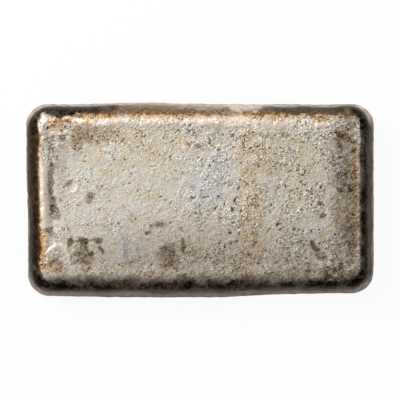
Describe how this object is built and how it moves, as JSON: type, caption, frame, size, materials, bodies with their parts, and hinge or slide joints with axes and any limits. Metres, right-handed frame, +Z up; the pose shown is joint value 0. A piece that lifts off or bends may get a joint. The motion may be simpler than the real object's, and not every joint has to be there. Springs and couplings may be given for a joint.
{
  "type": "metal ingot",
  "caption": "Cast silver ingot: a flat rectangular bar with drafted walls, rolled shoulders and a shallow sunk, pitted and tarnished face, kept as raw stock.",
  "frame": {"origin": "centre of the bar's plan, on the surface it lies on", "axes": "+X along the bar's length, +Y across it, +Z up through the blank face"},
  "size_m": [0.117, 0.0657, 0.0138],
  "materials": {
    "cast_silver": "as-cast silver, pitted, worn satin on the face, brown and black tarnish down the sides"
  },
  "bodies": {
    "root": {"ingot": "cast_silver"}
  },
  "joints": []
}
